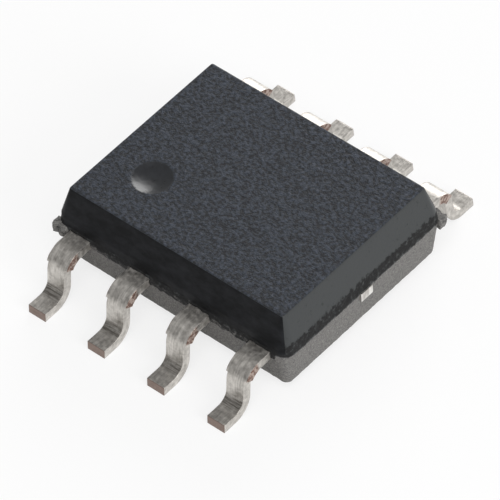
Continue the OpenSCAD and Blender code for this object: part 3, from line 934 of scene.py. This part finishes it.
    # strip: across, along and through in millimetres, shifted so that no two leads match
    flatPlace = addNode(tree, "ShaderNodeCombineXYZ", None,
                        {0: sideways.outputs[0], 1: distance, 2: lift.outputs[0]})
    inMillimetres = addNode(tree, "ShaderNodeVectorMath", {"operation": "SCALE"},
                            {0: flatPlace.outputs[0], "Scale": perMillimetre})
    shift = addNode(tree, "ShaderNodeCombineXYZ", None, {2: given["Seed"]})
    seeded = addNode(tree, "ShaderNodeVectorMath", {"operation": "ADD"},
                     {0: inMillimetres.outputs[0], 1: shift.outputs[0]})
    marked = addNode(tree, "GeometryNodeStoreNamedAttribute",
                     {"data_type": "FLOAT_VECTOR", "domain": "POINT"},
                     {0: bar.outputs["Mesh"], "Name": "strip", "Value": seeded.outputs[0]})
    # place: nearness to an edge, distance past the step and distance from the tip
    side = addNode(tree, "ShaderNodeMath", {"operation": "ABSOLUTE"}, {0: across})
    nearness = addNode(tree, "ShaderNodeMath", {"operation": "MULTIPLY"},
                       {0: side.outputs[0], 1: 2.0})
    left = addNode(tree, "ShaderNodeMath", {"operation": "SUBTRACT"},
                   {0: length, 1: distance})
    distances = addNode(tree, "ShaderNodeCombineXYZ", None, {1: past, 2: left.outputs[0]})
    distancesMm = addNode(tree, "ShaderNodeVectorMath", {"operation": "SCALE"},
                          {0: distances.outputs[0], "Scale": perMillimetre})
    nearnessVector = addNode(tree, "ShaderNodeCombineXYZ", None, {0: nearness.outputs[0]})
    where = addNode(tree, "ShaderNodeVectorMath", {"operation": "ADD"},
                    {0: nearnessVector.outputs[0], 1: distancesMm.outputs[0]})
    placed = addNode(tree, "GeometryNodeStoreNamedAttribute",
                     {"data_type": "FLOAT_VECTOR", "domain": "POINT"},
                     {0: marked.outputs[0], "Name": "place", "Value": where.outputs[0]})
    bent = addNode(tree, "GeometryNodeSetPosition", None,
                   {0: placed.outputs[0], "Position": position.outputs[0]})
    turn = addNode(tree, "ShaderNodeCombineXYZ", None, {2: given["Turn"]})
    moved = addNode(tree, "GeometryNodeTransform", None,
                    {"Geometry": bent.outputs[0], "Translation": given["Place"],
                     "Rotation": turn.outputs[0]})
    real = addNode(tree, "GeometryNodeRealizeInstances", None, {0: moved.outputs[0]})
    finished = addNode(tree, "GeometryNodeSetMaterial", None,
                       {0: real.outputs[0], "Material": given["Material"]})
    addNode(tree, "NodeGroupOutput", None, {0: finished.outputs[0]})
    return tree, sockets


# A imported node's mesh, merged, for a piece that carries on from it
def mergedCopy(node):
    shape = bmesh.new()
    shape.from_mesh(frame["nodes"][node].data)
    bmesh.ops.remove_doubles(shape, verts=shape.verts, dist=mm(gullWing["weld"]))
    return shape


# The part of a lead that is anchored in the moulding
def anchoredEnd(node, side):
    shape = mergedCopy(node)
    cut = bmesh.ops.bisect_plane(
        shape, geom=shape.verts[:] + shape.edges[:] + shape.faces[:],
        plane_co=mm(0, side * gullWing["joint"], 0), plane_no=(0, side, 0), clear_outer=True)
    rim = [e for e in cut["geom_cut"] if isinstance(e, bmesh.types.BMEdge)]
    bmesh.ops.holes_fill(shape, edges=rim)
    strip = shape.verts.layers.float_vector.new("strip")
    place = shape.verts.layers.float_vector.new("place")
    inTheMoulding = (0.5, -1.0, 2.0)       # off the edges, before the step, far from the tip
    for vert in shape.verts:
        vert[strip] = vert.co / millimetre
        vert[place] = inTheMoulding
    return shape


def buildLeads():
    tree, sockets = makeStripTree()
    thickness = gullWing["thickness"]
    lean = math.radians(gullWing["lean"])
    middle = gullWing["bendRadius"] + thickness / 2
    tangent = middle * math.tan((math.pi / 2 - lean) / 2)
    low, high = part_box("lead_1")
    stripHeight = high.z / millimetre - thickness / 2
    tipY = -low.y / millimetre
    bendY = moulding["width"] / 2 + gullWing["shoulderRun"]
    upperY = bendY + tangent
    lowerY = upperY + (stripHeight - thickness / 2) * math.tan(lean)
    stepAt = bendY - gullWing["joint"] + middle * math.radians(gullWing["damTurn"])
    faces = 0
    for mount in frame["record"]["mounts"]:
        number = int(mount["name"].split("_")[-1])
        node = "lead_%d" % number
        side = -1 if number <= 4 else 1
        strip = runTree(node + "_strip", bpy.data.meshes.new(node), tree, sockets, {
            "Start": mm(0, gullWing["joint"], stripHeight),
            "Upper Corner": mm(0, upperY, stripHeight),
            "Lower Corner": mm(0, lowerY, thickness / 2),
            "Tip": mm(0, tipY, thickness / 2),
            "Bend": mm(middle), "Thickness": mm(thickness),
            "Shoulder Width": mm(gullWing["shoulderWidth"]),
            "Lead Width": mm(gullWing["leadWidth"]), "Step At": mm(stepAt),
            "Tip Slant": mm(thickness * math.tan(math.radians(gullWing["tipCut"]))),
            "Burr": mm(gullWing["burr"]), "Place": Vector((mount["pos_m"][0], 0, 0)),
            "Turn": math.pi if side < 0 else 0.0, "Seed": float(number), "Material": tin},
            gullWing["edge"])
        shape = anchoredEnd(node, side)
        shape.from_mesh(strip)
        joined = toMesh(node + "_tinned", shape)
        joined.materials.append(tin)
        lead = newPiece("tinned_" + node, joined)
        faces = len(joined.polygons)
        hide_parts(node)
        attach(lead, "root")
    print("leads built,", faces, "faces each")


buildLeads()


diePad = {
    "flatWithin": 1.0,     # degrees, facets closer in turn than this are one face
    "edge": 0.012,
    "edgeAngle": 40,       # degrees, the least turn that counts as an edge
}


# The die pad's tie bars end in sheared stubs at the body's ends
def addDiePad():
    shape = mergedCopy("die_pad")
    bmesh.ops.dissolve_limit(shape, angle_limit=math.radians(diePad["flatWithin"]),
                             verts=shape.verts, edges=shape.edges)
    pad = toMesh("shearedPad", shape)
    pad.materials.append(shearedTin)
    piece = newPiece("sheared_die_pad", pad, smooth=False)
    breakEdges(piece, diePad["edge"], diePad["edgeAngle"])
    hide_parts("die_pad")
    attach(piece, "root")


addDiePad()
for name, material in ([("die_attach", dieAttach), ("die", silicon)]
                       + [("bond_wire_%d" % number, gold) for number in range(1, 9)]):
    carried = frame["nodes"][name].data
    carried.materials.clear()
    carried.materials.append(material)
print("die pad, die and wires finished")

studio = {
    "tableSize": 400,
    "rim": 12,             # the table's edge turns up this much, which hides the horizon
    "tableColour": "#fafafa",
    "tableLift": 0.75,     # how far the table's shadows are lifted towards white
    "worldStrength": 0.36,
    "lamps": {             # place, width and power in watts
        "key": ((-60, 150, 62), 110, 0.13),
        "overhead": ((75, -70, 175), 150, 0.17),
        "side": ((170, -20, 80), 110, 0.16),
    },
}


def makeTable():
    half = mm(studio["tableSize"] / 2)
    around = ((-half, -half), (half, -half), (half, half), (-half, half))
    rim = [(k, k + 4, (k + 1) % 4 + 4, (k + 1) % 4) for k in range(4)]
    mesh = bpy.data.meshes.new("table")
    mesh.from_pydata([(x, y, z) for z in (0, mm(studio["rim"])) for x, y in around], [],
                     [(0, 1, 2, 3)] + rim)
    material, tree = newMaterial("mattWhiteLaminate")
    surface = addNode(tree, "ShaderNodeBsdfPrincipled", None,
                      {"Base Color": linearColour(studio["tableColour"]), "Roughness": 0.9,
                       "Specular IOR Level": 0.2})
    glow = addNode(tree, "ShaderNodeEmission", None,
                   {"Color": (1, 1, 1, 1), "Strength": 1.0})
    rays = addNode(tree, "ShaderNodeLightPath")
    straight = addNode(tree, "ShaderNodeMath", {"operation": "MAXIMUM"},
                       {0: rays.outputs["Is Camera Ray"], 1: rays.outputs["Is Glossy Ray"]})
    seen = addNode(tree, "ShaderNodeMath", {"operation": "MAXIMUM"},
                   {0: straight.outputs[0], 1: rays.outputs["Is Transmission Ray"]})
    lift = addNode(tree, "ShaderNodeMath", {"operation": "MULTIPLY"},
                   {0: seen.outputs[0], 1: studio["tableLift"]})
    mixed = addNode(tree, "ShaderNodeMixShader", None,
                    {0: lift.outputs[0], 1: surface.outputs[0], 2: glow.outputs[0]})
    addNode(tree, "ShaderNodeOutputMaterial", None, {"Surface": mixed.outputs[0]})
    mesh.materials.append(material)
    table = newPiece("table", mesh, smooth=False)


def makeLamp(name, place, size, power):
    lamp = bpy.data.lights.new(name, "AREA")
    lamp.shape = "DISK"
    lamp.size = mm(size)
    lamp.energy = power
    obj = bpy.data.objects.new(name, lamp)
    obj.location = mm(*place)
    obj.rotation_euler = obj.location.to_track_quat("Z", "Y").to_euler()
    bpy.context.scene.collection.objects.link(obj)


# The table closes every view from above, so the world is only an even, soft light
def makeWorld():
    world = bpy.data.worlds.new("studio")
    bpy.context.scene.world = world
    world.use_nodes = True
    tree = world.node_tree
    tree.nodes.clear()
    light = addNode(tree, "ShaderNodeBackground", None,
                    {"Color": (1, 1, 1, 1), "Strength": studio["worldStrength"]})
    addNode(tree, "ShaderNodeOutputWorld", None, {"Surface": light.outputs[0]})


viewpoint = {
    "azimuth": 44.1,       # degrees, from the front round towards the far end
    "elevation": 47.7,
    "roll": -4.57,
    "distance": 104.3,
    "lens": 466.5,
    "sensor": 36,
    "nearest": 1,
    "farthest": 5000,
    "aim": (0.168, -0.212, 0.5),
}


def makeCamera():
    azimuth = math.radians(viewpoint["azimuth"])
    elevation = math.radians(viewpoint["elevation"])
    back = Vector((math.cos(elevation) * math.sin(azimuth),
                   -math.cos(elevation) * math.cos(azimuth), math.sin(elevation)))
    camera = bpy.data.cameras.new("camera")
    camera.lens = viewpoint["lens"]
    camera.sensor_width = viewpoint["sensor"]
    camera.clip_start = mm(viewpoint["nearest"])
    camera.clip_end = mm(viewpoint["farthest"])
    obj = bpy.data.objects.new("camera", camera)
    right = (-back).cross(Vector((0, 0, 1))).normalized()
    up = right.cross(-back)
    tilt = math.radians(viewpoint["roll"])
    levelRight = right * math.cos(tilt) + up * math.sin(tilt)
    levelUp = up * math.cos(tilt) - right * math.sin(tilt)
    turn = Matrix((levelRight, levelUp, back)).transposed()
    obj.rotation_euler = turn.to_euler()
    obj.location = mm(*viewpoint["aim"]) + back * mm(viewpoint["distance"])
    bpy.context.scene.collection.objects.link(obj)
    bpy.context.scene.camera = obj


makeTable()
for name, (place, size, power) in studio["lamps"].items():
    makeLamp(name, place, size, power)
makeWorld()
makeCamera()
bpy.context.scene.view_settings.view_transform = "Standard"
print("studio set")
